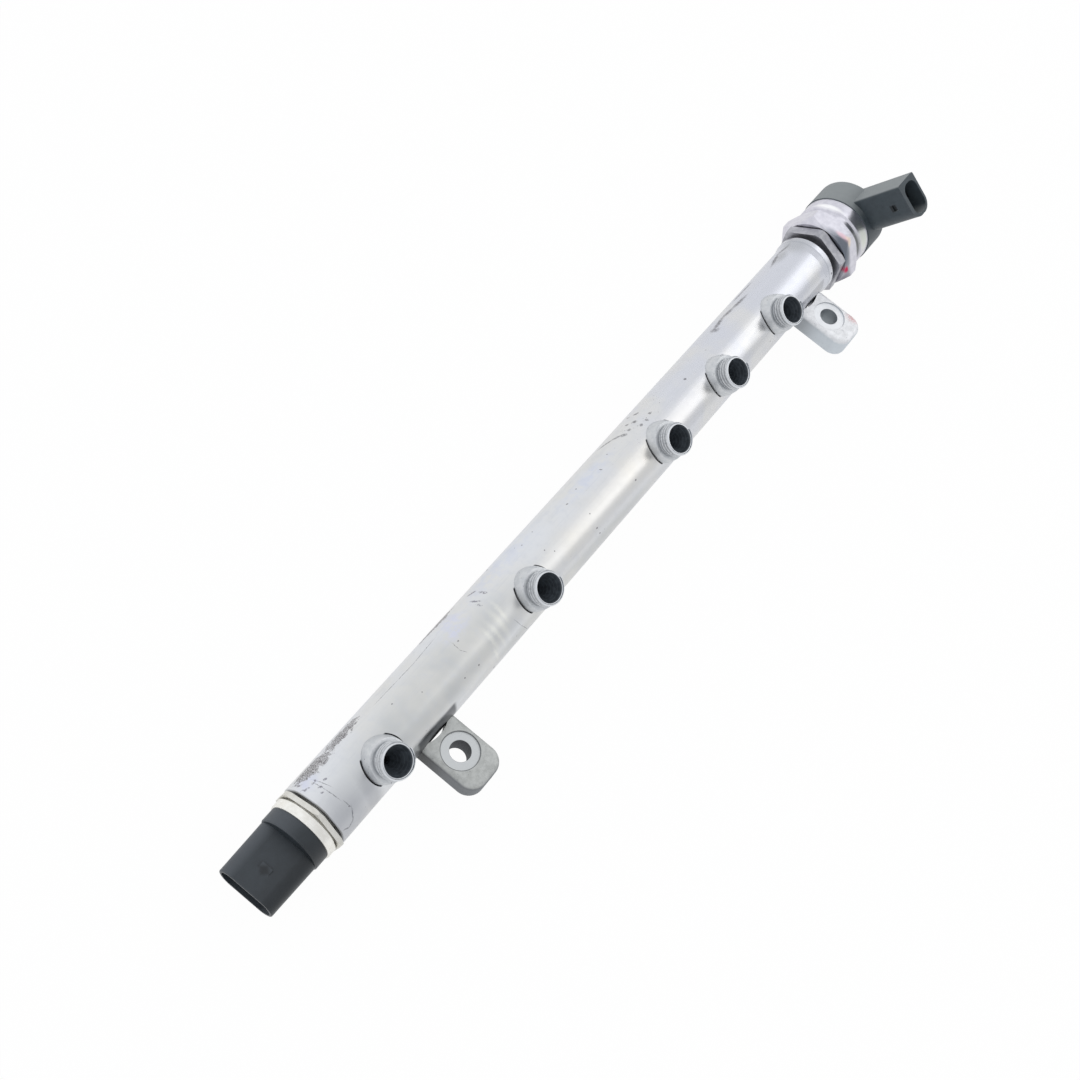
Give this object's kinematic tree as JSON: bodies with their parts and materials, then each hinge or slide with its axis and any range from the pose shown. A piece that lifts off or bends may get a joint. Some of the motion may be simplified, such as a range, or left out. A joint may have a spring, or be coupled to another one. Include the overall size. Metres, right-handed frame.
{
  "type": "fuel rail",
  "caption": "High pressure diesel fuel rail with threaded pipe ports, mounting ears, a pressure sensor and a control valve.",
  "frame": {"origin": "midway between the two bolt holes, on the seat face under the ears", "axes": "+X along the tube from the sensor to the valve, +Z along the bolts, away from the seat face; the ears point to -Y"},
  "size_m": [0.4283, 0.0587, 0.0584],
  "materials": {
    "rail_zinc": "bright zinc plate, worn",
    "port_zinc": "bright zinc plate",
    "near_bracket_zinc": "grey zinc over forged scale",
    "far_bracket_zinc": "bright zinc over forged scale",
    "sensor_steel": "turned stainless steel",
    "sleeve_steel": "bright turned steel",
    "cell_steel": "ground steel",
    "circuit_board": "green lacquer",
    "seal_rubber": "smooth black rubber",
    "sensor_plastic": "fine satin moulding",
    "valve_plastic": "fine satin moulding",
    "tinned_brass": "tinned brass",
    "cartridge_steel": "turned steel",
    "lock_nut_zinc": "bright zinc plate",
    "valve_zinc": "passivated zinc with a lilac tint",
    "backup_plastic": "off-white plastic",
    "bobbin_plastic": "brown moulding",
    "copper_wire": "enamelled copper",
    "magnetic_steel": "turned soft iron",
    "hard_steel": "polished hard steel",
    "spring_steel": "drawn spring wire"
  },
  "bodies": {
    "rail": {"far_bracket": "far_bracket_zinc", "near_bracket": "near_bracket_zinc", "port_1": "port_zinc", "port_2": "port_zinc", "port_3": "port_zinc", "port_4": "port_zinc", "port_5": "port_zinc", "rail_tube": "rail_zinc", "sensor_body": "sensor_steel", "sensor_cell": "cell_steel", "sensor_circuit_board": "circuit_board", "sensor_plug_housing": "sensor_plastic", "sensor_seal": "seal_rubber", "sensor_sleeve": "sleeve_steel", "sensor_terminal_1": "tinned_brass", "sensor_terminal_2": "tinned_brass", "sensor_terminal_3": "tinned_brass", "valve_backup_ring": "backup_plastic", "valve_bobbin": "bobbin_plastic", "valve_body": "cartridge_steel", "valve_coil": "copper_wire", "valve_core": "magnetic_steel", "valve_housing": "valve_zinc", "valve_lock_nut": "lock_nut_zinc", "valve_plug_cap": "valve_plastic", "valve_seal_ring": "seal_rubber", "valve_spring": "spring_steel", "valve_terminal_1": "tinned_brass", "valve_terminal_2": "tinned_brass"},
    "armature": {"valve_armature": "magnetic_steel", "valve_ball": "hard_steel"}
  },
  "joints": [
    {"name": "armature_slide", "type": "slide", "parent": "rail", "child": "armature", "axis": [1, 0, 0], "range_m": [0, 0.0004], "stiffness_N_per_m": 2000, "springref_m": -0.003, "deforming": ["valve_spring"]}
  ]
}
